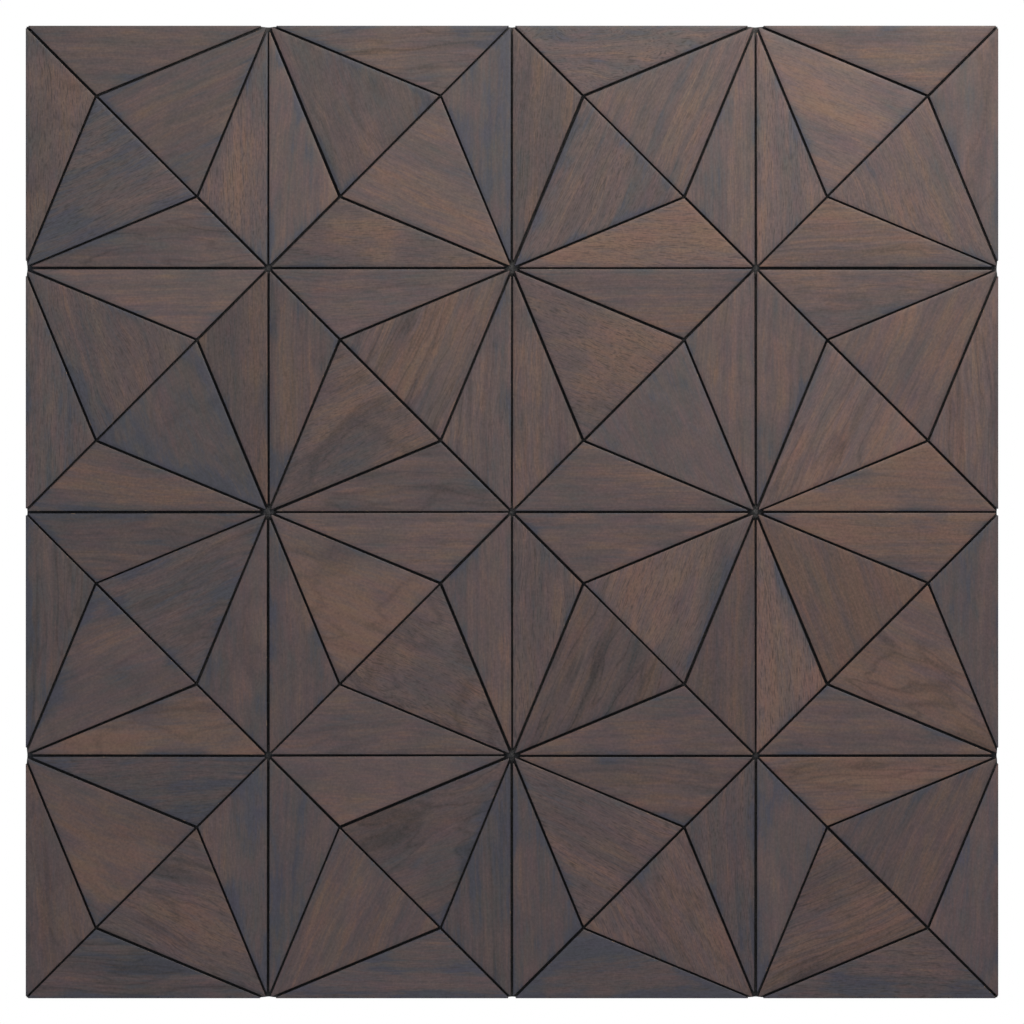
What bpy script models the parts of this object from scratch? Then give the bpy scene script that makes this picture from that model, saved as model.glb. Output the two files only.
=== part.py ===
"""Decorative wall panel: walnut triangles laid with open joints on a felt backing.

The panel stands in the XZ plane, +Z up. Its felt back lies on the wall, in the plane y = 0, and
its wooden front faces -Y. The origin is the middle of the back.

The pattern is a square of cells. Every joint leaves a cell's corner at a multiple of 22.5 degrees:
one diagonal of the cell is the spine, and two slanting joints from each end of the other diagonal
meet it at two knots. That cuts a cell into four slender side tiles, one on each side of the cell,
and two core tiles between them. Neighbouring cells are mirror images, so the joints meet in stars
of eight and twelve rays.
"""

import math
import random

import bmesh
import bpy
from mathutils import Matrix, Vector

# Driving dimensions, in metres and degrees.
CELLS = 4                   # cells along each side of the panel
CELL = 0.150                # side of one cell, from joint middle to joint middle
JOINT = 0.0014              # open joint between neighbouring tiles
TILE_THICKNESS = 0.012
ARRIS = 0.0004              # chamfer around the front of each tile
TIP_RADIUS = 0.0003         # sanded corners of each tile
TIP_STEPS = 2               # straight runs in a sanded corner
FELT_THICKNESS = 0.009
FELT_SETBACK = 0.0002       # from the outer line of the wood in to the edge of the felt
PLUG_RADIUS = 0.0020        # felt plug that fills the middle of a star
PLUG_SETBACK = 0.0037       # from the front of the tiles back to the end of a plug
PLUG_SIDES = 16
GLUE_GAP = 0.0003           # between the felt and a tile that is a solid of its own
ROOT = 0.001                # how far a tile that is joined to the felt reaches into it
PLAY = 0.0002               # most that a hand-laid tile lies off its place, each way
TURN = 0.10                 # most that it is turned off its line, each way, in degrees
SEED = 22
SHARP_EDGE = 30.0           # edges that fold more than this stay crisp, in degrees
WELD = 0.000001             # points closer than this are one point

HALF_CELL = CELL / 2
KNOT = HALF_CELL * math.tan(math.radians(22.5))     # a knot lies this far from the cell's middle
WOOD_SIDE = CELLS * CELL - JOINT
FELT_SIDE = WOOD_SIDE - 2 * FELT_SETBACK
SIDES = ("top", "left", "bottom", "right")          # a quarter turn apart, as seen from the front

# Corners of the tiles in their cell, seen from the front: x to the right, z up. A side tile comes
# in two hands. The tiles of the other sides are the same, turned by quarter turns.
SIDE_TILE = (
    ((-HALF_CELL, HALF_CELL), (-KNOT, KNOT), (HALF_CELL, HALF_CELL)),
    ((-HALF_CELL, HALF_CELL), (KNOT, KNOT), (HALF_CELL, HALF_CELL)),
)
CORE_TILE = ((-KNOT, KNOT), (KNOT, -KNOT), (HALF_CELL, HALF_CELL))


def clear_scene():
    """Remove whatever the scene holds."""
    for obj in list(bpy.data.objects):
        bpy.data.objects.remove(obj)


def collection(name, hidden=False):
    """A new collection in the scene, kept out of renders if hidden."""
    made = bpy.data.collections.new(name)
    made.hide_render = hidden
    bpy.context.scene.collection.children.link(made)
    return made


def material(name, colour, roughness):
    """A Principled material with one colour, given in linear red, green and blue."""
    made = bpy.data.materials.new(name)
    made.use_nodes = True
    shader = made.node_tree.nodes["Principled BSDF"]
    shader.inputs["Base Color"].default_value = (*colour, 1.0)
    shader.inputs["Roughness"].default_value = roughness
    shader.inputs["Metallic"].default_value = 0.0
    made.diffuse_color = (*colour, 1.0)
    return made


def incircle(corners):
    """Centre and radius of the circle that touches the three sides of a triangle."""
    a, b, c = (Vector(corner) for corner in corners)
    sides = ((b - c).length, (c - a).length, (a - b).length)
    around = sum(sides)
    centre = (a * sides[0] + b * sides[1] + c * sides[2]) / around
    radius = abs((b - a).cross(c - a)) / around
    return centre, radius


def outline(corners):
    """The tile's outline about the middle of its incircle: half a joint in from the triangle, with
    an arc in each corner. Both come from moving the corners straight towards that middle."""
    centre, radius = incircle(corners)
    points = [Vector(corner) - centre for corner in corners]
    arc_centres = [point * (1 - (JOINT / 2 + TIP_RADIUS) / radius) for point in points]
    tangents = [math.atan2(*reversed(arc_centres[i] - arc_centres[i - 1])) for i in range(3)]
    made = []
    for i, middle in enumerate(arc_centres):
        start = tangents[i] - math.pi / 2
        sweep = (tangents[(i + 1) % 3] - tangents[i]) % (2 * math.pi)
        for step in range(TIP_STEPS + 1):
            angle = start + sweep * step / TIP_STEPS
            made.append(middle + TIP_RADIUS * Vector((math.cos(angle), math.sin(angle))))
    return made


def plate(points, back, front):
    """A mesh in the XZ plane with this outline, between two depths along -Y."""
    curve = bpy.data.curves.new("plate", "CURVE")
    curve.dimensions = "2D"
    curve.fill_mode = "BOTH"
    curve.extrude = (front - back) / 2
    spline = curve.splines.new("POLY")
    spline.points.add(len(points) - 1)
    for spline_point, point in zip(spline.points, points):
        spline_point.co = (*point, 0.0, 1.0)
    spline.use_cyclic_u = True
    holder = bpy.data.objects.new("plate", curve)
    bpy.context.scene.collection.objects.link(holder)
    graph = bpy.context.evaluated_depsgraph_get()
    mesh = bpy.data.meshes.new_from_object(holder.evaluated_get(graph))
    bpy.data.objects.remove(holder)
    bpy.data.curves.remove(curve)
    upright = Matrix.Rotation(math.pi / 2, 4, "X")
    mesh.transform(Matrix.Translation((0, -(back + front) / 2, 0)) @ upright)
    return mesh


def tile_mesh(name, corners, back, finish):
    """A tile about the middle of its incircle, with y = 0 in the front face of the felt.

    Its front edges are chamfered: the front is drawn out by the chamfer's depth, and made smaller
    about the incircle's middle, which brings all three sides in by the same width."""
    radius = incircle(corners)[1] - JOINT / 2
    shoulder = TILE_THICKNESS - ARRIS
    mesh = plate(outline(corners), back, shoulder)
    mesh.name = name
    shape = bmesh.new()
    shape.from_mesh(mesh)
    bmesh.ops.remove_doubles(shape, verts=shape.verts, dist=WELD)
    cap = [face for face in shape.faces if all(v.co.y < WELD - shoulder for v in face.verts)]
    drawn = bmesh.ops.extrude_face_region(shape, geom=cap)["geom"]
    bmesh.ops.delete(shape, geom=[face for face in cap if face.is_valid], context="FACES")
    rim = [item for item in drawn if isinstance(item, bmesh.types.BMVert)]
    bmesh.ops.translate(shape, verts=rim, vec=(0, -ARRIS, 0))
    smaller = 1 - ARRIS / radius
    bmesh.ops.scale(shape, verts=rim, vec=(smaller, 1, smaller))
    bmesh.ops.recalc_face_normals(shape, faces=shape.faces)
    shape.to_mesh(mesh)
    shape.free()
    mesh.materials.clear()
    mesh.materials.append(finish)
    mesh.shade_smooth()
    mesh.set_sharp_from_angle(angle=math.radians(SHARP_EDGE))
    return mesh


def place(name, mesh, corners, cell_middle, quarter, nudge, home):
    """Lay one tile: quarter turns about the cell's middle, and a nudge (right, up, turn)."""
    centre = Matrix.Rotation(quarter * math.pi / 2, 2) @ incircle(corners)[0]
    tile = bpy.data.objects.new(name, mesh)
    x = cell_middle.x + centre.x + nudge[0]
    z = cell_middle.y + centre.y + nudge[1]
    tile.location = (x, -FELT_THICKNESS, z)
    tile.rotation_euler = (0, -(quarter * math.pi / 2 + nudge[2]), 0)
    home.objects.link(tile)
    return tile


def hand_laid(draw, quarter, on_edge):
    """How far a tile lies off its place. An edge tile only slides along the panel's edge."""
    right, up = draw.uniform(-PLAY, PLAY), draw.uniform(-PLAY, PLAY)
    turn = math.radians(draw.uniform(-TURN, TURN))
    if on_edge:
        along_x = quarter % 2 == 0
        return (right if along_x else 0.0, 0.0 if along_x else up, 0.0)
    return right, up, turn


def side_tile_kind(row, column, quarter):
    """Where a side tile lies: along the panel's edge, in the star at its middle, or elsewhere."""
    last, middle = CELLS - 1, CELLS // 2
    if (row == 0, column == 0, row == last, column == last)[quarter]:
        return "edge"
    by_middle = {row, column} <= {middle - 1, middle}
    inward = (row == middle, column == middle, row == middle - 1, column == middle - 1)[quarter]
    return "star" if by_middle and inward else "inner"


def lay_tiles(finish, panel, joined):
    """All the tiles. The core tiles, those along the panel's edges and those of its middle star
    are solids of their own. The inner side tiles go in the collection that is joined to the felt."""
    core = tile_mesh("core_tile", CORE_TILE, GLUE_GAP, finish)
    loose = [tile_mesh(f"side_tile_{h}", SIDE_TILE[h], GLUE_GAP, finish) for h in (0, 1)]
    rooted = [tile_mesh(f"rooted_side_tile_{h}", SIDE_TILE[h], -ROOT, finish) for h in (0, 1)]
    draw = random.Random(SEED)
    for row in range(CELLS):
        for column in range(CELLS):
            middle = Vector((column - (CELLS - 1) / 2, (CELLS - 1) / 2 - row)) * CELL
            cell = f"r{row + 1}c{column + 1}"
            for quarter, side in enumerate(SIDES):
                hand = (row + column + quarter) % 2
                kind = side_tile_kind(row, column, quarter)
                name = f"{kind}_tile_{cell}_{side}"
                nudge = hand_laid(draw, quarter, kind == "edge")
                if kind == "inner":
                    mesh, home = rooted[hand], joined
                else:
                    mesh, home = loose[hand], panel
                tile = place(name, mesh, SIDE_TILE[hand], middle, quarter, nudge, home)
                if kind == "inner":
                    tile.hide_render = True
                    tile.display_type = "WIRE"
                if hand == 0:
                    name = f"core_tile_{cell}_{'upper' if quarter < 2 else 'lower'}"
                    nudge = hand_laid(draw, quarter, False)
                    place(name, core, CORE_TILE, middle, quarter, nudge, panel)


def felt_plugs(finish, joined):
    """A round plug of felt in the middle of each star, where the tips of the tiles leave a hole."""
    depth = ROOT + TILE_THICKNESS - PLUG_SETBACK
    mesh = bpy.data.meshes.new("felt_plug")
    shape = bmesh.new()
    bmesh.ops.create_cone(shape, cap_ends=True, segments=PLUG_SIDES, radius1=PLUG_RADIUS,
                          radius2=PLUG_RADIUS, depth=depth,
                          matrix=Matrix.Rotation(math.pi / 2, 4, "X"))
    bmesh.ops.translate(shape, verts=shape.verts, vec=(0, ROOT - depth / 2, 0))
    shape.to_mesh(mesh)
    shape.free()
    mesh.materials.append(finish)
    for row in range(1, CELLS):
        for column in range(1, CELLS):
            plug = bpy.data.objects.new(f"felt_plug_{row}_{column}", mesh)
            plug.location = ((column - CELLS / 2) * CELL, -FELT_THICKNESS, (CELLS / 2 - row) * CELL)
            plug.hide_render = True
            plug.display_type = "WIRE"
            joined.objects.link(plug)


def felt_backing(finish, panel, joined):
    """The felt sheet behind all the tiles, with the inner side tiles and the plugs joined on."""
    mesh = bpy.data.meshes.new("felt_backing")
    shape = bmesh.new()
    bmesh.ops.create_cube(shape, size=1.0)
    bmesh.ops.scale(shape, verts=shape.verts, vec=(FELT_SIDE, FELT_THICKNESS, FELT_SIDE))
    bmesh.ops.translate(shape, verts=shape.verts, vec=(0, -FELT_THICKNESS / 2, 0))
    shape.to_mesh(mesh)
    shape.free()
    mesh.materials.append(finish)
    felt = bpy.data.objects.new("felt_backing_with_inner_tiles", mesh)
    panel.objects.link(felt)
    union = felt.modifiers.new("glued tiles", "BOOLEAN")
    union.operation = "UNION"
    union.operand_type = "COLLECTION"
    union.collection = joined
    union.solver = "EXACT"
    union.material_mode = "TRANSFER"
    return felt


def main():
    clear_scene()
    walnut = material("smoked_walnut", (0.11, 0.085, 0.082), 0.5)
    felt = material("pressed_felt", (0.055, 0.056, 0.058), 0.95)
    panel = collection("wall_panel")
    joined = collection("joined_to_felt", hidden=True)
    lay_tiles(walnut, panel, joined)
    felt_plugs(felt, joined)
    felt_backing(felt, panel, joined)


main()
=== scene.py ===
# %% [markdown]
# # A wall panel of smoked walnut triangles
#
# The real panel is a mosaic. Ninety-six thin triangles of walnut, smoked until they are a dark
# grey brown, are glued side by side on a square of pressed felt, and an open joint is left around
# each. In this lesson the felt and every triangle become pieces of their own, each with the
# roundings, the grain and the fibres that the maker's hands and tools leave.
#
# The measured frame gives all places and sizes, so we load it first and keep its box.

import math
import random

import bmesh
import bpy
from mathutils import Euler, Matrix, Vector


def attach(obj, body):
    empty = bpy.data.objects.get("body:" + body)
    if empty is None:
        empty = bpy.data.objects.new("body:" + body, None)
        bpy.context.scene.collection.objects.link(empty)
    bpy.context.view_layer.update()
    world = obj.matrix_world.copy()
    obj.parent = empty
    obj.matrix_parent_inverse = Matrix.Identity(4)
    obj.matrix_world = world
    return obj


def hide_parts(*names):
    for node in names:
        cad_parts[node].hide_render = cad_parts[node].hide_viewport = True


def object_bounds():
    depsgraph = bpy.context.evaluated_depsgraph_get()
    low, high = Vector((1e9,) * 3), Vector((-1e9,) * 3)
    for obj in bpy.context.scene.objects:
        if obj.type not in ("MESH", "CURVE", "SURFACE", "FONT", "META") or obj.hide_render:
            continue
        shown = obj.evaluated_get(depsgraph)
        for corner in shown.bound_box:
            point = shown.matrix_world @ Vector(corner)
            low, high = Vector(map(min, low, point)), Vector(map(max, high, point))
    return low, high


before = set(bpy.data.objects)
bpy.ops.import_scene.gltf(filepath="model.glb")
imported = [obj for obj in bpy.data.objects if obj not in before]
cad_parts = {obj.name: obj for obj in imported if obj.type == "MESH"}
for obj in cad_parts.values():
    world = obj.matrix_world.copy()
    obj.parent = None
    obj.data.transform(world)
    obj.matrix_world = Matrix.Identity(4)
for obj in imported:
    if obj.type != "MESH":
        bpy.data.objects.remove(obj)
cad_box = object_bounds()
low, high = (Vector(corner) for corner in cad_box)
MM = 0.001
print("The frame has", len(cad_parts), "nodes and spans", [round(v / MM, 1) for v in high - low], "mm")

# %% [markdown]
# ## Camera
#
# We look at the panel straight on, from far away, through a long lens. The distance keeps the
# walls of the joints out of sight, so every joint reads as a thin dark line. We could also use an
# orthographic camera, but a long lens is what a studio has. The lens length follows from similar
# triangles: sensor over lens is the width that we see over the distance.

# %% Camera
CAMERA_DISTANCE = 12.0
PANEL_SHARE = 0.9498        # of the picture's width, taken by the panel
SENSOR = 36.0
picture_width = (high.x - low.x) / PANEL_SHARE

lens = bpy.data.cameras.new("long_lens")
lens.sensor_width = SENSOR
lens.lens = SENSOR * CAMERA_DISTANCE / picture_width
camera = bpy.data.objects.new("camera", lens)
camera.location = (0, low.y - CAMERA_DISTANCE, 0)
camera.rotation_euler = (math.pi / 2, 0, 0)
bpy.context.scene.collection.objects.link(camera)
bpy.context.scene.camera = camera
print("The lens is", round(lens.lens), "mm long")

# %% [markdown]
# ## Two small helpers
#
# Colours are easiest to choose as sRGB hex values, the way a paint shop writes them, but shaders
# calculate with linear light, so one function turns one into the other. A second function adds a
# node: what it is given is either a value for a socket or something to link to it. Every material
# below is made with these two.

# %% Helpers for materials
def linear(hex_colour):
    """An sRGB hex colour as linear red, green, blue and alpha."""
    parts = [int(hex_colour[i:i + 2], 16) / 255 for i in (1, 3, 5)]
    return (*(p / 12.92 if p <= 0.04045 else ((p + 0.055) / 1.055) ** 2.4 for p in parts), 1.0)


def add(tree, kind, inputs=None, **settings):
    """A new node. A node or socket among its inputs is linked, anything else is the value."""
    made = tree.nodes.new("ShaderNode" + kind)
    for name, value in settings.items():
        setattr(made, name, value)
    for name, value in (inputs or {}).items():
        if isinstance(value, bpy.types.Node):
            value = value.outputs[0]
        if isinstance(value, bpy.types.NodeSocket):
            tree.links.new(value, made.inputs[name])
        else:
            made.inputs[name].default_value = value
    return made


print("Half-bright grey is", [round(c, 3) for c in linear("#808080")])

# %% [markdown]
# ## From a shape to a piece
#
# Every piece below is shaped as a bmesh, Blender's editable mesh, and then stored as an object.
# The object could be moved to its place afterwards, but the grain is measured from its origin, so
# the object stays there and the place is in the mesh, as it is in the frame. Faces are smooth, and
# only edges that turn by more than 60 degrees stay sharp.

# %% Store a shape
SHARP = 60.0        # degrees


def store(shape, name, finish):
    """Turn a bmesh into an object with one finish."""
    mesh = bpy.data.meshes.new(name)
    shape.to_mesh(mesh)
    shape.free()
    mesh.materials.append(finish)
    mesh.shade_smooth()
    mesh.set_sharp_from_angle(angle=math.radians(SHARP))
    piece = bpy.data.objects.new(name, mesh)
    bpy.context.scene.collection.objects.link(piece)
    return piece


print("Edges over", SHARP, "degrees stay sharp")

# %% [markdown]
# ## Floor
#
# The panel hangs in a white studio. The floor lies well below it, so that it only shows when we
# look from the side. It could be curved up into a backdrop, but the room behind is white already,
# so a grid of one square is enough. Floor paint is matt and never quite even, so it is rough and a
# soft noise mixes two off-whites.

# %% Floor
FLOOR_LEVEL = -0.9
FLOOR_SIDE = 16.0
floor_paint = bpy.data.materials.new("matt_floor_paint")
floor_paint.use_nodes = True
floor_tree = floor_paint.node_tree
floor_shader = floor_tree.nodes["Principled BSDF"]
mottle = add(floor_tree, "TexNoise", {
    "Vector": add(floor_tree, "TexCoord").outputs["Object"], "Scale": 3.0, "Detail": 4.0})
floor_colour = add(floor_tree, "Mix", {
    "Factor": mottle, 6: linear("#E9E8E6"), 7: linear("#EFEEEC")}, data_type="RGBA")
floor_tree.links.new(floor_colour.outputs[2], floor_shader.inputs["Base Color"])
floor_shader.inputs["Roughness"].default_value = 0.7

shape = bmesh.new()
bmesh.ops.create_grid(shape, x_segments=1, y_segments=1, size=FLOOR_SIDE / 2)
bmesh.ops.translate(shape, verts=shape.verts, vec=(0, 0, FLOOR_LEVEL))
floor = store(shape, "studio_floor", floor_paint)
print("The floor lies", round(low.z - FLOOR_LEVEL, 2), "m below the panel")

# %% [markdown]
# ## The white room
#
# The studio's walls are white, and what matters of them is the light that they throw back. They
# could be modelled, but a world does the same for less. If it were as bright as it looks, it would
# wash the shadows out of the joints. So there are two backgrounds: the camera sees plain white,
# and the panel gets a cooler one, a fifth as bright.

# %% The white room
ROOM_LIGHT = 0.202
world = bpy.data.worlds.new("white_studio")
bpy.context.scene.world = world
world.use_nodes = True
room = world.node_tree
room.nodes.clear()
seen = add(room, "Background", {"Color": (1, 1, 1, 1), "Strength": 1.0})
cast = add(room, "Background", {"Color": linear("#EEF3FF"), "Strength": ROOM_LIGHT})
chosen = add(room, "MixShader", {0: add(room, "LightPath").outputs["Is Camera Ray"], 1: cast, 2: seen})
add(room, "OutputWorld", {"Surface": chosen})
bpy.context.scene.view_settings.view_transform = "Standard"
bpy.context.scene.view_settings.look = "None"
print("The room lights the panel at", ROOM_LIGHT, "of white")

# %% [markdown]
# ## Soft boxes
#
# A soft box is a lamp behind a wide cloth. A bare lamp would draw hard shadows into the joints and
# a bright spot on the oil, and an area lamp is the cloth itself: its size says how soft the shadows
# are. The key hangs close in front of the panel, above its middle and a little to the right. Light
# from the front reaches into the joints evenly, whichever way they run, and because the box is
# close, it fades towards the bottom edge. A cooler, weaker one fills in from the left, one stands
# behind the camera, and one lights the felt on the back.

# %% Soft boxes
def soft_box(name, place, size, power, tint):
    """A square area lamp that faces the middle of the panel."""
    lamp = bpy.data.lights.new(name, "AREA")
    lamp.size = size
    lamp.energy = power
    lamp.color = linear(tint)[:3]
    holder = bpy.data.objects.new(name, lamp)
    holder.location = place
    holder.rotation_euler = (-Vector(place)).to_track_quat("-Z", "Y").to_euler()
    holder.visible_camera = False
    bpy.context.scene.collection.objects.link(holder)
    print(name, "shines with", power, "W from", round(Vector(place).length, 2), "m away")


soft_box("key_soft_box", place=(0.33, -0.74, 0.76), size=0.9, power=11.4, tint="#FFF4E8")
soft_box("fill_soft_box", place=(-1.7, -2.2, 0.1), size=1.6, power=5.0, tint="#DCE7FF")
soft_box("front_soft_box", place=(0, -12.5, 0.2), size=1.6, power=90.0, tint="#FFFFFF")
soft_box("back_soft_box", place=(-0.9, 2.4, 1.3), size=1.6, power=36.0, tint="#FFFFFF")

# %% [markdown]
# ## Where each board lay in its tree
#
# Grain could be laid flat on each front, but then it smears down the sides. It looks real when it
# comes from a solid log. So each triangle gets a place inside an imaginary walnut log, as a vector
# attribute in millimetres: x runs along the trunk, and the distance from the x axis counts the
# years. Rings, pores and fibres are then plain functions of that place, and they run on over the
# roundings and down the sides as they do in solid wood.
#
# Two more vectors hold what makes a board itself. The colour vector says how brown it stayed in the
# smoke, how light it is and how strongly its tone clouds towards its rim. The figure vector says
# how bent its grain is, how strong its dark streaks are and how open its pores are. One number is a
# painted tint of the light, yellower at the top of the panel and more violet at its foot, and a
# last one is the distance from the nearest edge.

# %% Walnut: what a board tells the material
walnut = bpy.data.materials.new("smoked_walnut_oiled")
walnut.use_nodes = True
wood = walnut.node_tree
oiled = wood.nodes["Principled BSDF"]


def told(name, output):
    """An attribute of the board."""
    return add(wood, "Attribute", attribute_name=name).outputs[output]


log_place = told("log_place", "Vector")
browned, lightness, rim_cloudiness = add(wood, "SeparateXYZ", {0: told("board_colour", "Vector")}).outputs
bent_grain, lined, open_pored = add(wood, "SeparateXYZ", {0: told("board_figure", "Vector")}).outputs
board_hue = told("board_hue", "Fac")
rim_distance = told("rim_distance", "Fac")
print("The walnut reads", [n.attribute_name for n in wood.nodes if n.bl_idname == "ShaderNodeAttribute"])

# %% [markdown]
# ## Bending the log
#
# A trunk is never a perfect cone. A slow noise moves each place sideways by a few centimetres,
# which gives long waves and the nested arches that carpenters call cathedrals. A second, quicker
# one is the curl of figured wood. Both only work across the trunk, so the fibres stay fibres.

# %% Walnut: the bent log
def sum_of(first, second):
    """Two vectors added."""
    return add(wood, "VectorMath", {0: first, 1: second}, operation="ADD")


def stretched(place, along, across, detail=0.0, roughness=0.5):
    """A noise whose spots are so many millimetres long and wide."""
    spots = add(wood, "VectorMath", {0: place, 1: (1 / along, 1 / across, 1 / across)}, operation="MULTIPLY")
    return add(wood, "TexNoise", {"Vector": spots, "Scale": 1.0, "Detail": detail, "Roughness": roughness})


def sideways(noise, reach):
    """A noise colour as a move of up to half that many millimetres across the trunk."""
    centred = add(wood, "VectorMath", {0: noise.outputs["Color"], 1: (0.5, 0.5, 0.5)}, operation="SUBTRACT")
    across = add(wood, "VectorMath", {0: centred, 1: (0.0, reach, reach)}, operation="MULTIPLY")
    return add(wood, "VectorMath", {0: across, "Scale": bent_grain}, operation="SCALE")


BEND, CURL = 34.0, 3.2
bent = sum_of(log_place, sideways(stretched(log_place, 110, 45, 1.5, 0.45), BEND))
bent = sum_of(bent, sideways(stretched(log_place, 16, 10, 1.0), CURL))
across_trunk = add(wood, "VectorMath", {0: bent, 1: (0, 1, 1)}, operation="MULTIPLY")
years = add(wood, "VectorMath", {0: across_trunk}, operation="LENGTH").outputs["Value"]
along = add(wood, "SeparateXYZ", {0: log_place}).outputs["X"]
print("The log bends by up to", BEND / 2, "mm and curls by", CURL / 2, "mm")

# %% [markdown]
# ## Bands, rings, fibres and pores
#
# Smoked walnut is striped. Broad bands of a few years took the smoke differently, finer rings and
# hairlines run inside them for the length of a board, and fibres of a centimetre or two streak
# everything. A Wave texture could draw rings, but they would be evenly spaced. So all are noises
# that are stretched along the trunk. Bands, rings and hairlines depend on the distance from the
# middle of the log, so they nest, and the fibres and pores lie in the bent wood. Real pores are a
# tenth of a millimetre wide. Here they are coarser, half a millimetre, the finest line that a view
# of the whole shows.

# %% Walnut: stripes
def nested(width, length, detail, seed):
    """Stripes that follow the years, so many millimetres wide and long."""
    return add(wood, "TexNoise", {
        "Vector": add(wood, "CombineXYZ", {
            0: add(wood, "Math", {0: years, 1: width}, operation="DIVIDE"),
            1: add(wood, "Math", {0: along, 1: length}, operation="DIVIDE"), 2: seed}),
        "Scale": 1.0, "Detail": detail, "Roughness": 0.5})


bands = nested(9.0, 420.0, 2.0, 0.0)
rings = nested(2.6, 70.0, 2.0, 7.0)
streaks = nested(5.0, 260.0, 0.5, 19.0)
lines = nested(5.5, 75.0, 1.5, 31.0)
hairlines = nested(1.3, 160.0, 1.0, 43.0)
smoke = stretched(log_place, 70, 28, 1.5, 0.45)
blotches = stretched(log_place, 20, 9, 4.0, 0.65)
fibres = stretched(bent, 15, 1.1, 1.5, 0.6)
pores = stretched(bent, 6.0, 0.5)
hues = stretched(log_place, 30, 11, 3.5, 0.68)
dust = stretched(log_place, 1.6, 1.4, 1.0, 0.7)
print("The grain is drawn by", sum(n.bl_idname == "ShaderNodeTexNoise" for n in wood.nodes), "noises")

# %% [markdown]
# ## From grain to colour
#
# One number, the tone, runs from the blue grey of wood that the smoke reached to the brown of wood
# that it didn't. The board starts it, and each layer of grain pushes it up or down. The tone also
# falls towards each tile's rim, in clouds of a centimetre or two and once more in the last two
# millimetres, and towards the border of the panel, where nothing lies beside the tiles, over about
# a centimetre.

# %% Walnut: tone
def pushed(before, noise, weight):
    """before + weight * (noise - 0.5)"""
    centred = add(wood, "Math", {0: noise, 1: 0.5}, operation="SUBTRACT")
    return add(wood, "Math", {0: centred, 1: weight, 2: before}, operation="MULTIPLY_ADD")


def fading(distance, width):
    """1 where a distance is nothing, less and less over so many millimetres."""
    powers = add(wood, "Math", {0: distance, 1: -width}, operation="DIVIDE")
    return add(wood, "Math", {0: math.e, 1: powers}, operation="POWER")


def times(first, second):
    """Two numbers multiplied."""
    return add(wood, "Math", {0: first, 1: second}, operation="MULTIPLY")


CLOUD_REACH, CLOUD_PUSH = 4.6, -0.75    # how many millimetres the clouds reach in, and how far they push
LINE_REACH, LINE_PUSH = 1.6, -0.10      # the same for the line along the edge
BORDER_REACH, BORDER_PUSH = 7.0, -0.10  # and for the border of the panel
tone = browned
for noise, weight in ((bands, 0.95), (smoke, 0.95), (blotches, 0.92), (rings, 0.65), (fibres, 0.62)):
    tone = pushed(tone, noise, weight)
# The tone is pushed towards blue grey in clouds near each tile's rim, and once more along the rim itself.
cloud = add(wood, "MapRange", {
    "Value": stretched(log_place, 45, 25, 1.5), "From Min": 0.48, "From Max": 0.60})
rim_clouding = times(times(cloud, fading(rim_distance, CLOUD_REACH)), rim_cloudiness)
tone = add(wood, "Math", {0: rim_clouding, 1: CLOUD_PUSH, 2: tone}, operation="MULTIPLY_ADD")
line = fading(rim_distance, LINE_REACH)
tone = add(wood, "Math", {0: line, 1: LINE_PUSH, 2: tone}, operation="MULTIPLY_ADD")
# The tone is pushed towards blue grey near the border of the panel, over about seven millimetres.
from_middle = add(wood, "VectorMath", {0: add(wood, "TexCoord").outputs["Object"]}, operation="ABSOLUTE")
right, _, up = add(wood, "SeparateXYZ", {0: from_middle}).outputs
farthest = add(wood, "Math", {0: right, 1: up}, operation="MAXIMUM")
inwards = add(wood, "Math", {0: farthest, 1: -1 / MM, 2: high.x / MM}, operation="MULTIPLY_ADD")
near_border = fading(inwards, BORDER_REACH)
tone = add(wood, "Math", {0: near_border, 1: BORDER_PUSH, 2: tone}, operation="MULTIPLY_ADD")

colours = add(wood, "ValToRGB", {0: tone})
stops = colours.color_ramp.elements
stops[0].color, stops[1].color = linear("#3F404B"), linear("#6C5347")
for position, colour in ((0.20, "#4C4648"), (0.36, "#534748"), (0.58, "#5C4C4A"), (0.74, "#645049")):
    stops.new(position).color = linear(colour)
print("Tones:", [round(stop.position, 2) for stop in stops])

# %% [markdown]
# ## Light and dark
#
# Apart from its tone, wood is lighter or darker. Each board differs a little, late wood draws thin
# dark streaks on some boards and fine hairlines on all, the pores are dark dashes, and sanding
# dust leaves a faint speckle. All of this could be mixed in as dark colours, but multiplying by one
# shade keeps the hue of the wood.

# %% Walnut: shade
STREAK_SHADE, LATE_SHADE = -0.22, -0.30
LATE_WIDTH = 0.035          # of the noise, either side of its middle
RIM_REACH, RIM_SHADE = 3.0, 0.06
BORDER_SHADE = 0.015
streak_lines = add(wood, "MapRange", {"Value": streaks, "From Min": 0.50, "From Max": 0.68})
shade = add(wood, "Math", {
    0: times(streak_lines, lined), 1: STREAK_SHADE, 2: lightness}, operation="MULTIPLY_ADD")
off_line = add(wood, "Math", {0: lines, 1: 0.5}, operation="SUBTRACT")
apart = add(wood, "Math", {0: off_line}, operation="ABSOLUTE")
late_wood = add(wood, "MapRange", {
    "Value": apart, "From Min": 0.0, "From Max": LATE_WIDTH, "To Min": 1.0, "To Max": 0.0})
shade = add(wood, "Math", {0: times(late_wood, lined), 1: LATE_SHADE, 2: shade}, operation="MULTIPLY_ADD")
# Towards each tile's rim the wood is made a little lighter, over about three millimetres.
rim = fading(rim_distance, RIM_REACH)
shade = add(wood, "Math", {0: rim, 1: RIM_SHADE, 2: shade}, operation="MULTIPLY_ADD")
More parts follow.
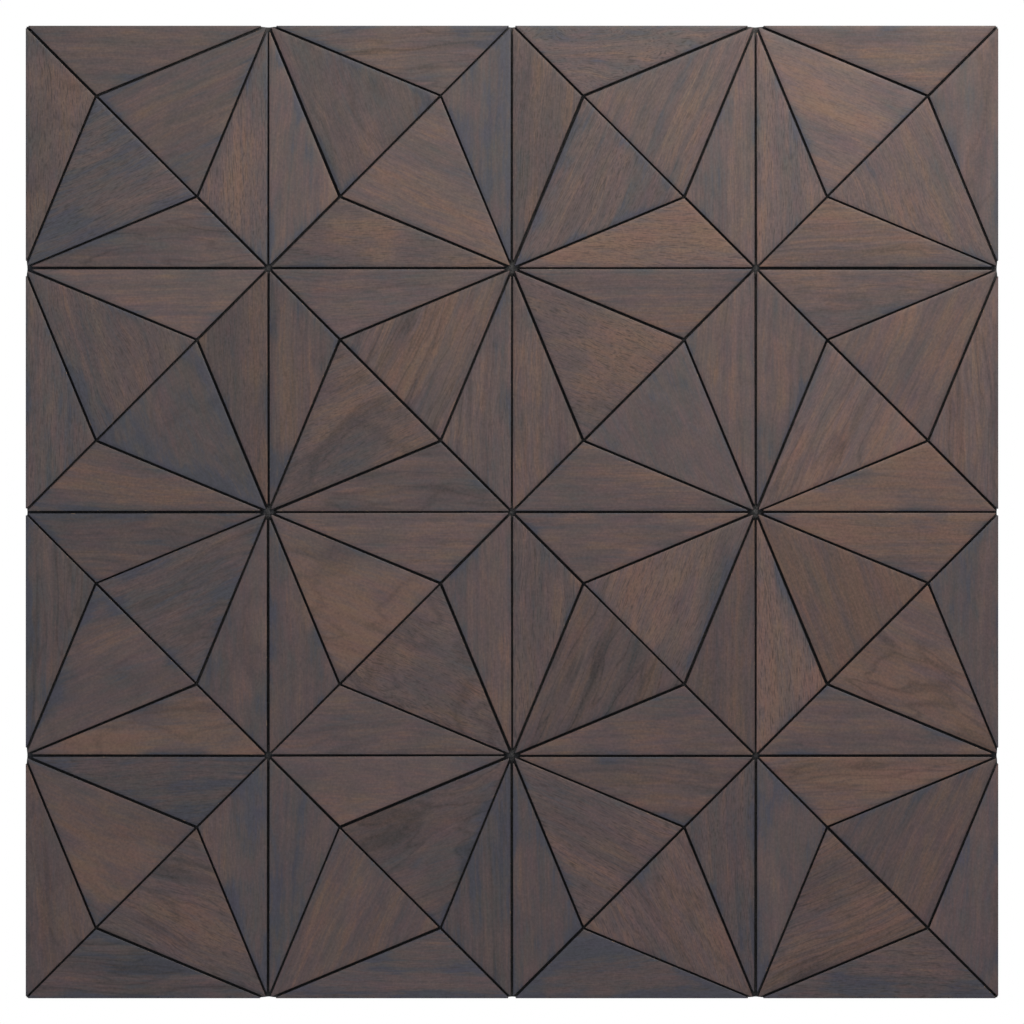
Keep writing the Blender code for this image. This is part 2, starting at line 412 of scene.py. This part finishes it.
# Towards the border of the panel the wood is also made a little lighter.
shade = add(wood, "Math", {0: near_border, 1: BORDER_SHADE, 2: shade}, operation="MULTIPLY_ADD")
for noise, weight in ((dust, 0.72), (fibres, 0.10), (hairlines, 0.42)):
    shade = pushed(shade, noise, weight)
shaded = add(wood, "VectorMath", {0: colours.outputs["Color"], "Scale": shade}, operation="SCALE")
print("Tone and shade take", len(wood.nodes), "nodes")

# %% [markdown]
# ## Hue, pores and worn edges
#
# The hue of wood wanders by a few per cent between yellow and violet. A Hue node could turn it, but
# a tint that multiplies is simpler: none of it is grey, more of it is greener and less red and blue,
# and less than none is the reverse. Pores are nearly black. Along the arris a few crumbs are worn or
# chipped off, and the pale wood under the stain shows.

# %% Walnut: hue, pores and worn edges
YELLOWING = (-0.13, 0.24, -0.19)
ARRIS = 0.3                 # millimetres
wandering = add(wood, "Math", {0: hues, 1: 0.5}, operation="SUBTRACT")
# The painted tint of the light, yellower at the top of the panel and more violet at its foot, is added to the
# wood's own wandering hue.
off_grey = add(wood, "Math", {0: wandering, 1: board_hue}, operation="ADD")
tint = add(wood, "VectorMath", {0: off_grey, 1: YELLOWING, 2: (1, 1, 1)}, operation="MULTIPLY_ADD")
tinted = add(wood, "VectorMath", {0: shaded, 1: tint}, operation="MULTIPLY")
pore_lines = add(wood, "MapRange", {"Value": pores, "From Min": 0.56, "From Max": 0.74})
pore_depth = times(pore_lines, open_pored)
pored = add(wood, "Mix", {"Factor": pore_depth, 6: tinted, 7: linear("#241E1D")}, data_type="RGBA")
crumbs = add(wood, "MapRange", {
    "Value": stretched(log_place, 3.0, 1.2, 1.0), "From Min": 0.69, "From Max": 0.72})
on_arris = add(wood, "Math", {0: rim_distance, 1: ARRIS}, operation="LESS_THAN")
worn = add(wood, "Mix", {
    "Factor": times(crumbs, on_arris), 6: pored.outputs[2], 7: linear("#85715F")}, data_type="RGBA")
wood.links.new(worn.outputs[2], oiled.inputs["Base Color"])
print("Its whole colour takes", len(wood.nodes), "nodes")

# %% [markdown]
# ## The oiled surface
#
# Hard-wax oil leaves walnut satin. A lacquer would lie on top as a clear coat of its own, but oil
# soaks in, so the wood's own roughness does for it, and the refraction is that of a drying oil.
# The pores stay open. The relief is only hundredths of a millimetre, so a bump is enough, but it
# breaks up the highlights.

# %% Walnut: surface
satin = add(wood, "MapRange", {
    "Value": fibres, "From Min": 0.3, "From Max": 0.7, "To Min": 0.42, "To Max": 0.54})
wood.links.new(satin.outputs[0], oiled.inputs["Roughness"])
oiled.inputs["IOR"].default_value = 1.5
relief = add(wood, "Math", {0: pore_depth, 1: -0.6, 2: times(fibres, 0.5)}, operation="MULTIPLY_ADD")
surface = add(wood, "Bump", {"Height": relief, "Strength": 0.4, "Distance": 0.06 * MM})
wood.links.new(surface.outputs["Normal"], oiled.inputs["Normal"])
print("The walnut has", len(wood.nodes), "nodes")

# %% [markdown]
# ## Outlines of the tiles
#
# The frame knows where every triangle lies, a fraction of a millimetre off the perfect pattern, as
# hands lay them. We could work the pattern out again, but then our tiles wouldn't lie just there.
# So we cut each of its solids through with a level plane, just under the front, and keep only the
# cut: one closed loop for each tile.

# %% Cut the outlines
TILE_CUT = -19.5 * MM
WELD = 0.001 * MM


def outlines(node, level):
    """A bmesh with one flat face for each loop that a level plane cuts, facing the front."""
    shape = bmesh.new()
    shape.from_mesh(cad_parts[node].data)
    bmesh.ops.remove_doubles(shape, verts=shape.verts, dist=WELD)
    everything = shape.verts[:] + shape.edges[:] + shape.faces[:]
    bmesh.ops.bisect_plane(shape, geom=everything, dist=WELD, plane_co=(0, level, 0),
                           plane_no=(0, 1, 0), clear_inner=True, clear_outer=True)
    bmesh.ops.dissolve_limit(shape, angle_limit=math.radians(0.5), verts=shape.verts, edges=shape.edges)
    bmesh.ops.edgeloop_fill(shape, edges=shape.edges)
    for face in shape.faces:
        face.normal_update()
        if face.normal.y > 0:
            face.normal_flip()
    return shape


felt_node = "felt_backing_with_inner_tiles"
check = outlines(felt_node, TILE_CUT)
print("The felt node carries", len(check.faces), "tiles with", {len(f.verts) for f in check.faces}, "corners")

# %% [markdown]
# ## The middle of a tile
#
# A tile is sawn, its front is sanded, and its arrises are eased with a scraper. To round them, the
# outline has to come in by the same width on all three sides. A Bevel does that, but it runs into
# itself in the slender tips. Scaling does it too, if it is done about the middle of the incircle,
# which lies equally far from all three sides. We find it by solving three small equations, one for
# each side.

# %% The middle of a tile
def incircle(face):
    """Middle and radius of the circle that touches the three long sides of a tile."""
    sides = sorted(face.edges, key=lambda e: -e.calc_length())[:3]
    rows, reach = [], []
    for side in sides:
        loop = next(l for l in side.link_loops if l.face == face)
        start = loop.vert.co
        inward = face.normal.cross(loop.link_loop_next.vert.co - start).normalized()
        rows.append((inward.x, inward.z, -1.0))
        reach.append(inward.dot(start))
    x, z, radius = Matrix(rows).inverted() @ Vector(reach)
    return Vector((x, face.calc_center_median().y, z)), radius


radii = [incircle(face)[1] / MM for face in check.faces]
check.free()
print("Their incircles have radii of", round(min(radii), 1), "to", round(max(radii), 1), "mm")

# %% [markdown]
# ## The rings of a tile
#
# A tile is a stack of rings, each with a level and an inset from the sides. Two rings would make a
# plain chamfer, which catches the light as one hard line. The real arris is round, and three steps
# along a quarter circle are enough for a third of a millimetre. One more ring lies further in,
# because a sander drops a little off an edge.

# %% Rings of a tile
BACK = -8.95 * MM           # pressed into the glue, so no light comes through over the felt
FRONT = low.y
ROUNDING = 0.35 * MM        # radius of the eased arris
ROUNDING_STEPS = 3
SANDED_WIDTH = 2.4 * MM     # the sander drops off the edge over this width
SANDED_DROP = 0.035 * MM
WALL = 1.0 * MM             # a ring this far under the arris keeps the wall's shading flat


def tile_rings(sunk):
    """Inset from the sides and level of each ring, from the back to the front."""
    front = FRONT + sunk
    start = front + ROUNDING + SANDED_DROP
    rings = [(0.0, start + WALL), (0.0, start)]
    for step in range(1, ROUNDING_STEPS + 1):
        angle = step / ROUNDING_STEPS * math.pi / 2
        rings.append((ROUNDING * (1 - math.cos(angle)), start - ROUNDING * math.sin(angle)))
    rings.append((SANDED_WIDTH, front))
    return rings


print("Rings of a tile:", [(round(i / MM, 2), round(l / MM, 2)) for i, l in tile_rings(0)])

# %% [markdown]
# ## Growing a tile
#
# The tile grows from its outline: the cap is extruded to the next level and made smaller, ring by
# ring, and the last one is poked in its middle. Each point also notes how far it lies from the
# rim. A distance could be worked out from the corners in the material, but this one costs nothing
# and is exact, because it grows evenly between the rim and that middle.

# %% Grow a tile
def grow_tile(shape, sunk):
    """Make a solid tile of the flat face in shape. Returns the middle of its back."""
    cap = shape.faces[:][0]
    rim_distance = shape.verts.layers.float.new("rim_distance")
    middle, radius = incircle(cap)
    bmesh.ops.translate(shape, verts=cap.verts, vec=(0, BACK - TILE_CUT, 0))
    inset, level = 0.0, BACK
    back = cap
    for next_inset, next_level in tile_rings(sunk):
        drawn = bmesh.ops.extrude_face_region(shape, geom=[cap])["geom"]
        if cap != back:
            bmesh.ops.delete(shape, geom=[cap], context="FACES_ONLY")
        cap = next(item for item in drawn if isinstance(item, bmesh.types.BMFace))
        smaller = (radius - next_inset) / (radius - inset)
        bmesh.ops.translate(shape, verts=cap.verts, vec=(0, next_level - level, 0))
        bmesh.ops.scale(shape, verts=cap.verts, vec=(smaller, 1, smaller),
                        space=Matrix.Translation(-middle))
        for vert in cap.verts:
            vert[rim_distance] = next_inset / MM
        inset, level = next_inset, next_level
    poked = bmesh.ops.poke(shape, faces=[cap])["verts"][0]
    poked.co = (middle.x, level, middle.z)
    poked[rim_distance] = radius / MM
    bmesh.ops.recalc_face_normals(shape, faces=shape.faces)
    return Vector((middle.x, BACK, middle.z))


print("A tile is", round((BACK - FRONT) / MM, 2), "mm thick")

# %% [markdown]
# ## The cells of the pattern
#
# The pattern is a square of four by four cells, and each has six tiles. To know what a tile is, we
# ask which cell it lies in and at which of its sides. The names of the nodes say so for most, but
# not for the forty tiles in the felt's node, so we work it out from the middle of the tile.

# %% Cells and sides
CELLS = 4
JOINT = 1.4 * MM
CELL = (high.x - low.x + JOINT) / CELLS     # the outer tiles stop half a joint inside the cell


def cell_of(middle):
    """Row and column of the cell that holds a point, from 0, counted from the top left."""
    return int(CELLS / 2 - middle.z / CELL), int(CELLS / 2 + middle.x / CELL)


def side_of(middle):
    """The side of its cell that a side tile lies along."""
    row, column = cell_of(middle)
    right = middle.x - (column - (CELLS - 1) / 2) * CELL
    up = middle.z - ((CELLS - 1) / 2 - row) * CELL
    if abs(right) > abs(up):
        return "right" if right > 0 else "left"
    return "top" if up > 0 else "bottom"


print("A cell is", round(CELL / MM, 1), "mm wide")

# %% [markdown]
# ## Which way the grain runs
#
# The tiles along a cell's sides are cut with the grain along that side, their longest edge. The
# two core tiles of a cell have the grain along one of their legs, the flat one or the steep one,
# as the offcuts came to hand. It could be drawn at random, but a plan keeps the order of the real
# panel: a word for each cell, with a letter for its upper and one for its lower core tile.

# %% Grain plan
CORE_PLAN = (("ff", "sf", "ss", "fs"),
             ("ss", "sf", "fs", "ss"),
             ("ff", "ff", "ss", "sf"),
             ("ff", "fs", "fs", "sf"))
LEG_ANGLE = {"f": 22.5, "s": 67.5}


def grain_angle(name, middle):
    """Degrees from level, counterclockwise as seen from the front."""
    row, column = cell_of(middle)
    if "core" not in name:
        return 0.0 if side_of(middle) in ("top", "bottom") else 90.0
    angle = LEG_ANGLE[CORE_PLAN[row][column]["lower" in name]]
    return angle if (row + column) % 2 == 0 else 180.0 - angle


letters = "".join("".join(row) for row in CORE_PLAN)
print(letters.count("f"), "of", len(letters), "core tiles have their grain along the flat leg")

# %% [markdown]
# ## A place in the log
#
# Every tile takes a board from another part of the log: its distance from the pith and the angle
# it was sawn at decide whether it shows straight lines or arches. We could cut all tiles from one
# board, but then the grain would run on across the joints, and offcuts never match like that. The
# draws come from one seeded generator, so the panel is the same each time.

# %% A place in the log
TRUNK = 2500.0              # millimetres
FROM_PITH = (50, 190)
OFF_LEVEL = 2               # degrees that the grain may lie off its direction
TILT, TWIST = 2.5, 1.5      # degrees that a board may be sawn off the length of the trunk


def lay_in_log(shape, middle, angle, draw):
    """Write each vertex's place in the log, in millimetres."""
    log_place = shape.verts.layers.float_vector.new("log_place")
    turn = Matrix.Rotation(math.radians(angle + draw.uniform(-OFF_LEVEL, OFF_LEVEL)), 3, "Y")
    sawn = Euler((draw.uniform(0, math.pi / 2), math.radians(draw.uniform(-TILT, TILT)),
                  math.radians(draw.uniform(-TWIST, TWIST)))).to_matrix()
    start = Vector((draw.uniform(0, TRUNK), draw.uniform(*FROM_PITH), 0))
    for vert in shape.verts:
        flat = turn @ (vert.co - middle)
        vert[log_place] = start + sawn @ (Vector((flat.x, flat.z, flat.y)) / MM)


print("Boards are sawn", FROM_PITH[0], "to", FROM_PITH[1], "mm off the pith of a trunk of", TRUNK, "mm")

# %% [markdown]
# ## Boards picked by hand
#
# A maker doesn't lay offcuts blindly. Smoky ones were kept for the foot of the panel, and brown
# ones, some with strong lines and one with curly grain, were set here and there. All could be left
# to chance, but then the panel would lose this order. So the places of these are named, and only
# the others are drawn.

# %% Picked boards
SMOKY = {"edge_r4c1_bottom", "edge_r4c2_bottom", "edge_r4c3_bottom", "edge_r4c4_bottom", "edge_r4c4_right",
         "inner_r4c1_right", "inner_r4c2_left", "inner_r4c2_right", "inner_r4c3_left", "inner_r4c3_right",
         "inner_r4c4_left", "inner_r4c1_top", "inner_r3c2_right", "core_r2c1_lower", "core_r1c1_lower",
         "edge_r3c4_right", "inner_r1c2_right"}
BROWN = {"core_r4c4_lower", "core_r4c1_upper", "core_r4c1_lower", "core_r3c2_upper", "core_r3c4_upper",
         "core_r3c4_lower", "inner_r1c3_bottom", "inner_r1c4_bottom", "inner_r1c2_bottom",
         "inner_r2c4_bottom", "inner_r4c4_top", "inner_r3c1_bottom", "inner_r2c3_top"}
LINED = {"core_r4c4_lower", "core_r4c1_lower", "core_r3c2_lower", "core_r3c4_lower"}
CURLY = {"edge_r1c3_top"}
print("Picked by hand:", {"smoky": len(SMOKY), "brown": len(BROWN), "lined": len(LINED), "curly": len(CURLY)})

# %% [markdown]
# ## The board itself
#
# Each board gets its colour and its figure, the numbers that the material reads. They could be
# custom properties of the object, but an attribute of the mesh also survives when meshes are
# joined. Over the whole panel the tone drifts a little browner to the right and downwards, and a
# painted tint of the light leans it to yellow at the top and to violet at the foot.

# %% Colour and figure of a board
SMOKY_TONE, BROWN_TONE, USUAL_TONE = (0.26, 0.05), (0.70, 0.06), (0.54, 0.06)   # mean and spread
LIGHTNESS = (1.0, 0.075)
BROWNER = (0.10, -0.06)     # from the middle to the right edge, and to the top edge
# painted tint of the light, from the middle to the right edge and to the top edge
PAINTED_LIGHT_TINT = (-0.033, 0.047)
CORE_BEND, SIDE_BEND = 0.8, 0.5     # side tiles are cut from straighter wood
CURLY_BEND = 1.6
OPENEST = 0.6               # how dark the pores of the most open wood are


def choose_board(shape, place, middle, draw):
    """Write the board's colour and figure."""
    across, up = middle.x / high.x, middle.z / high.z
    browner = BROWNER[0] * across + BROWNER[1] * up
    painted_light_tint = PAINTED_LIGHT_TINT[0] * across + PAINTED_LIGHT_TINT[1] * up
    smoky, brown, lined = draw.gauss(*SMOKY_TONE), draw.gauss(*BROWN_TONE), draw.random() ** 1.5
    usual = draw.gauss(*USUAL_TONE)
    browned = smoky if place in SMOKY else brown if place in BROWN else usual
    colour = (browned + browner, draw.gauss(*LIGHTNESS), draw.uniform(0.1, 1.0))
    share = CORE_BEND if "core" in place else SIDE_BEND
    bend = CURLY_BEND if place in CURLY else draw.uniform(0.3, 1.0) * share
    openness = OPENEST if place in CURLY else draw.random() ** 1.5 * OPENEST
    figure = (bend, 1.0 if place in LINED else lined, openness)
    for name, character in (("board_colour", colour), ("board_figure", figure)):
        layer = shape.verts.layers.float_vector.new(name)
        for vert in shape.verts:
            vert[layer] = character
    # the painted tint of the light, the same over the whole tile
    hue = shape.verts.layers.float.new("board_hue")
    for vert in shape.verts:
        vert[hue] = painted_light_tint


print("From left to right the boards grow browner by", 2 * BROWNER[0])

# %% [markdown]
# ## All tiles
#
# Each outline becomes a tile, and the tile stands in for its node. The forty tiles that the frame
# joins to the felt are cut loose here. They could stay one piece, but they are separate pieces of
# wood, and each needs a board of its own. Hands don't press every tile equally deep into the glue,
# so the fronts differ by a tenth of a millimetre.

# %% All tiles
SEED = 7
SUNK = 0.12 * MM
draw = random.Random(SEED)
tiles = []
for node in sorted(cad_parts):
    flat = outlines(node, TILE_CUT)
    order = sorted(range(len(flat.faces)), key=lambda i: tuple(flat.faces[:][i].calc_center_median()))
    for index in order:
        one = flat.copy()
        one.faces.ensure_lookup_table()
        others = [face for face in one.faces if face.index != index]
        bmesh.ops.delete(one, geom=others, context="FACES")
        middle = grow_tile(one, draw.choice((0.0, draw.uniform(0, SUNK))))
        row, column = cell_of(middle)
        place = node if node != felt_node else f"inner_tile_r{row + 1}c{column + 1}_{side_of(middle)}"
        place = place.replace("_tile", "")
        lay_in_log(one, middle, grain_angle(place, middle), draw)
        choose_board(one, place, middle, draw)
        piece = store(one, "walnut_" + place, walnut)
        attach(piece, "root")
        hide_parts(node)
        tiles.append(piece)
    flat.free()
print(len(tiles), "tiles,", sum(len(t.data.polygons) for t in tiles), "faces")

# %% [markdown]
# ## Fibres of the felt
#
# Needled felt is a mat of crossing fibres. Hair could be grown on it, but hair is heavy and can't be
# exported. Three stretched noises, turned against each other, stand for the fibres, and the
# brightest of them wins. They are drawn coarser than real ones, half a millimetre instead of
# hundredths, so that they show.

# %% Felt: crossing fibres
FIBRE_LENGTH, FIBRE_WIDTH = 7.0, 0.55
FIBRE_TURNS = (20, 80, 140)         # degrees
LEAN, SLANT = 0.5, 0.3              # radians, so that fibres also cross on the cut edges
felt = bpy.data.materials.new("needled_felt")
felt.use_nodes = True
mat = felt.node_tree
felt_place = add(mat, "VectorMath", {
    0: add(mat, "TexCoord").outputs["Object"], "Scale": 1 / MM}, operation="SCALE")
crossing = None
for turn in FIBRE_TURNS:
    turned = add(mat, "Mapping", {
        "Vector": felt_place, "Rotation": (LEAN, math.radians(turn), SLANT),
        "Scale": (FIBRE_LENGTH, FIBRE_WIDTH, FIBRE_WIDTH)}, vector_type="TEXTURE")
    fibre = add(mat, "TexNoise", {"Vector": turned, "Scale": 1.0, "Detail": 1.0, "Distortion": 0.4})
    crossing = fibre if crossing is None else add(mat, "Math", {0: crossing, 1: fibre}, operation="MAXIMUM")
print(len(FIBRE_TURNS), "layers of fibres,", FIBRE_LENGTH, "mm long and", FIBRE_WIDTH, "mm wide")

# %% [markdown]
# ## Colour of the felt
#
# Some of the fibres are nearly black and some light grey, which gives felt a heathered look. A
# flatter noise shows the layers of the mat at the cut edges and soft clouds on its faces, and a wide
# one makes it lighter and darker where the mat is thick or thin. The fibres scatter all light, so it
# is very rough, and sheen is the light in its loose ends. They could stand up as real relief, but at
# this size a bump does.

# %% Felt: colour and fuzz
LAYER_LENGTH, LAYER_DEPTH = 9.0, 0.7
PATCH = 38.0                # the mat is thinner and thicker in patches of this size
fuzzy = mat.nodes["Principled BSDF"]
layers = add(mat, "TexNoise", {
    "Vector": add(mat, "VectorMath", {
        0: felt_place, 1: (1 / LAYER_LENGTH, 1 / LAYER_DEPTH, 1 / LAYER_LENGTH)}, operation="MULTIPLY"),
    "Scale": 1.0, "Detail": 2.0})
heather = add(mat, "MapRange", {"Value": crossing, "From Min": 0.46, "From Max": 0.72})
mixed = add(mat, "Mix", {"Factor": heather, 6: linear("#2F3132"), 7: linear("#5C5D5F")}, data_type="RGBA")
clouded = add(mat, "Mix", {
    "Factor": add(mat, "MapRange", {"Value": layers, "From Min": 0.35, "From Max": 0.75, "To Max": 0.5}),
    6: mixed.outputs[2], 7: linear("#38393B")}, data_type="RGBA")
thickness = add(mat, "MapRange", {
    "Value": add(mat, "TexNoise", {"Vector": felt_place, "Scale": 1 / PATCH, "Detail": 3.0}),
    "From Min": 0.35, "From Max": 0.65, "To Min": 0.88, "To Max": 1.10})
patched = add(mat, "VectorMath", {0: clouded.outputs[2], "Scale": thickness}, operation="SCALE")
mat.links.new(patched.outputs[0], fuzzy.inputs["Base Color"])
fuzzy.inputs["Roughness"].default_value = 0.95
fuzzy.inputs["Sheen Weight"].default_value = 0.25
fuzzy.inputs["Sheen Roughness"].default_value = 0.6
height = add(mat, "Math", {0: crossing, 1: layers}, operation="ADD")
matted = add(mat, "Bump", {"Height": height, "Strength": 0.6, "Distance": 0.25 * MM})
mat.links.new(matted.outputs["Normal"], fuzzy.inputs["Normal"])
print("The felt has", len(mat.nodes), "nodes")

# %% [markdown]
# ## The felt's knife-cut edge
#
# The sheet is the whole back of the panel. It is cut with a knife, so its edge wanders a little,
# and where a joint between two cells ends on the edge, the knife bit in a little deeper. A block
# would have the size, but not this edge. So we take its outline from the frame, split each side
# into many short edges and push every point in by a tiny draw.

# %% Felt sheet: the edge
FELT_CUT = -5.0 * MM
EDGE_CUTS = 399
WANDER = 0.10 * MM
NICK_DEPTH, NICK_WIDTH = 0.5 * MM, 3.0 * MM
sheet = outlines(felt_node, FELT_CUT)
bmesh.ops.subdivide_edges(sheet, edges=sheet.edges, cuts=EDGE_CUTS)
for vert in sheet.verts:
    side, run = (0, 2) if abs(vert.co.x) > abs(vert.co.z) else (2, 0)
    cells = vert.co[run] / CELL
    from_star = abs(cells - round(cells)) * CELL
    at_corner = abs(cells) > (CELLS - 1) / 2
    nick = 0.0 if at_corner else NICK_DEPTH * math.exp(-(from_star / NICK_WIDTH) ** 2)
    vert.co[side] -= math.copysign(draw.uniform(0, WANDER) + nick, vert.co[side])
print("The felt's edge has", len(sheet.verts), "points")

# %% [markdown]
# ## The felt's thickness
#
# Felt has no sharp arris. A Bevel would run into the many short edges of the outline. Instead the
# face is extruded to a slab that is a little too thin, and both ends are inset in steps that rise
# less and less, which rounds them and brings the slab to its full thickness.

# %% Felt sheet: the slab
FELT_FRONT = -9.0 * MM
SOFT_EDGE = ((0.04, 0.15), (0.11, 0.11), (0.15, 0.04), (2.0, 0.0))   # inset and rise in millimetres
rise = sum(step[1] for step in SOFT_EDGE) * MM
face = sheet.faces[:][0]
bmesh.ops.translate(sheet, verts=sheet.verts, vec=(0, -rise - FELT_CUT, 0))
drawn = bmesh.ops.extrude_face_region(sheet, geom=[face])["geom"]
front_verts = [item for item in drawn if isinstance(item, bmesh.types.BMVert)]
bmesh.ops.translate(sheet, verts=front_verts, vec=(0, FELT_FRONT + 2 * rise, 0))
bmesh.ops.recalc_face_normals(sheet, faces=sheet.faces)
ends = [item for item in sheet.faces if len(item.verts) > 4]
for inset, height in SOFT_EDGE:
    bmesh.ops.inset_region(sheet, faces=ends, thickness=inset * MM, depth=height * MM, use_even_offset=True)
print("The felt sheet has", len(sheet.faces), "faces, from", round(min(v.co.y for v in sheet.verts) / MM, 2),
      "to", round(max(v.co.y for v in sheet.verts) / MM, 2), "mm")
felt_sheet = store(sheet, "felt_sheet", felt)
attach(felt_sheet, "root")
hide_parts(felt_node)

# %% [markdown]
# ## The middles of the stars
#
# Where the tips of the tiles meet they leave a hole, and the middle of it is grey felt, not a dark
# pit, so the felt swells up there. The frame has a plain round plug at each of these places. We
# could work the places out from the cells, but one more cut through the felt's node finds them, and
# the plugs are the only small loops in it.

# %% Find the stars
PLUG_CUT = -16.0 * MM
PLUG_AREA = 25.0 * MM ** 2      # the tiles are all larger
found = outlines(felt_node, PLUG_CUT)
small = [face for face in found.faces if face.calc_area() < PLUG_AREA]
centres = [face.calc_center_median() for face in small]
plug_radius = max((v.co - face.calc_center_median()).length for face in small for v in face.verts)
found.free()
print(len(centres), "stars, with plugs of", round(2 * plug_radius / MM, 1), "mm")

# %% [markdown]
# ## The swollen felt
#
# It could be pulled up out of the sheet, but the sheet would need thousands of faces for nine small
# spots. We make it a round plug with a domed crown that lies a few millimetres under the front. It
# grows like a tile, as a stack of circles, the last ones smaller, closed with a poke.

# %% Felt plugs
PLUG_SIDES = 24
CROWN = -16.6 * MM
PLUG_FOOT = FELT_FRONT + 1 * MM     # inside the sheet
DOME_ANGLES = (0, 20, 40, 60, 78)
DOME_HEIGHT = 0.8                   # of its radius
SWELLING = 1.15                     # at most, over the frame's plug
plugs = bmesh.new()
for centre in centres:
    wide = plug_radius * draw.uniform(1.0, SWELLING)
    upright = Matrix.Rotation(math.pi / 2, 4, "X")
    circle = bmesh.ops.create_circle(plugs, segments=PLUG_SIDES, radius=wide,
                                     matrix=Matrix.Translation((centre.x, PLUG_FOOT, centre.z)) @ upright)
    face = bmesh.ops.contextual_create(plugs, geom=circle["verts"])["faces"][0]
    level, size = PLUG_FOOT, 1.0
    for angle in DOME_ANGLES:
        next_level = CROWN + wide * DOME_HEIGHT * (1 - math.sin(math.radians(angle)))
        next_size = math.cos(math.radians(angle))
        drawn = bmesh.ops.extrude_face_region(plugs, geom=[face])["geom"]
        if angle:
            bmesh.ops.delete(plugs, geom=[face], context="FACES_ONLY")
        face = next(item for item in drawn if isinstance(item, bmesh.types.BMFace))
        bmesh.ops.translate(plugs, verts=face.verts, vec=(0, next_level - level, 0))
        bmesh.ops.scale(plugs, verts=face.verts, vec=(next_size / size, 1, next_size / size),
                        space=Matrix.Translation((-centre.x, 0, -centre.z)))
        level, size = next_level, next_size
    top = bmesh.ops.poke(plugs, faces=[face])["verts"][0]
    top.co.y = CROWN
bmesh.ops.recalc_face_normals(plugs, faces=plugs.faces)
print("The plugs have", len(plugs.faces), "faces")

# %% [markdown]
# ## Fluff in the mouths of the joints
#
# A round plug alone would leave each joint open right up to it, with a dark ring around the crown.
# The swollen felt reaches into the mouths of the joints as well: level beside the plug, and sinking
# away further out. It could be drawn for each star by itself, but one ridge does for all: a cube
# drawn out to a bar, cut across, and its top bent down. We keep it as a mesh, to lay copies of it.

# %% One ridge of fluff
FLUFF_WIDTH = 1.2 * MM
FLUFF_REACH = 7.5 * MM
FLUFF_CUTS = 7
FLUFF_START = 1.0 * MM      # inside the plug, so that the ridges don't meet in the middle
FLAT_REACH = 2.2 * MM       # the fluff is level so far out, then it sinks away
SUNK_FLUFF = 8.0 * MM       # how far it has sunk at its end
FLUFF_TOP = CROWN + 0.8 * MM
height = PLUG_FOOT - FLUFF_TOP
ridge = bmesh.new()
bmesh.ops.create_cube(ridge, size=1.0)
bmesh.ops.translate(ridge, verts=ridge.verts, vec=(0.5, -0.5, 0))
bmesh.ops.scale(ridge, verts=ridge.verts, vec=(FLUFF_REACH - FLUFF_START, height, FLUFF_WIDTH))
bmesh.ops.translate(ridge, verts=ridge.verts, vec=(FLUFF_START, 0, 0))
along = [edge for edge in ridge.edges
         if abs(edge.verts[0].co.x - edge.verts[1].co.x) > FLUFF_REACH / 2]
bmesh.ops.subdivide_edges(ridge, edges=along, cuts=FLUFF_CUTS, use_grid_fill=True)
for vert in ridge.verts:
    if vert.co.y < -height + 0.01 * MM:
        out = max(0.0, vert.co.x - FLAT_REACH) / (FLUFF_REACH - FLAT_REACH)
        vert.co.y += min(out ** 2 * SUNK_FLUFF, -vert.co.y * 0.98)
ridge_mesh = bpy.data.meshes.new("fluff_ridge")
ridge.to_mesh(ridge_mesh)
ridge.free()
print("A ridge of fluff has", len(ridge_mesh.polygons), "faces")

# %% [markdown]
# ## A ridge in every joint of every star
#
# Eight joints meet in five of the nine stars, and twelve in the other four, in turns. The joints
# could be read from the frame, but their directions are simple: level, upright and slanting ones.
# Each ridge is a little shorter and lower than the next, because faces that lie in exactly one
# plane shadow each other and render black.

# %% Ridges in every joint of every star
FLUFF_UNEVEN = 0.3 * MM     # how much lower a ridge may lie


def joints_of(centre):
    """The directions of the joints that meet in this star, in degrees."""
    eight_rays = (round(centre.x / CELL) + round(centre.z / CELL)) % 2 == 0
    slanting = (45,) if eight_rays else (22.5, 67.5)
    return [quarter + angle for quarter in (0, 90, 180, 270) for angle in (0, *slanting)]


for centre in centres:
    for degrees in joints_of(centre):
        shorter = draw.uniform(0.85, 1.0)
        lower = 1 - draw.uniform(0, FLUFF_UNEVEN) / height
        laid = ridge_mesh.copy()
        laid.transform(Matrix.Translation((centre.x, PLUG_FOOT, centre.z))
                       @ Matrix.Rotation(math.radians(degrees), 4, "Y")
                       @ Matrix.Diagonal((shorter, lower, 1, 1)))
        plugs.from_mesh(laid)
        bpy.data.meshes.remove(laid)
bpy.data.meshes.remove(ridge_mesh)
bmesh.ops.recalc_face_normals(plugs, faces=plugs.faces)
print("The plugs and their fluff have", len(plugs.faces), "faces")
felt_plugs = store(plugs, "felt_plugs", felt)
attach(felt_plugs, "root")
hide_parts(felt_node)
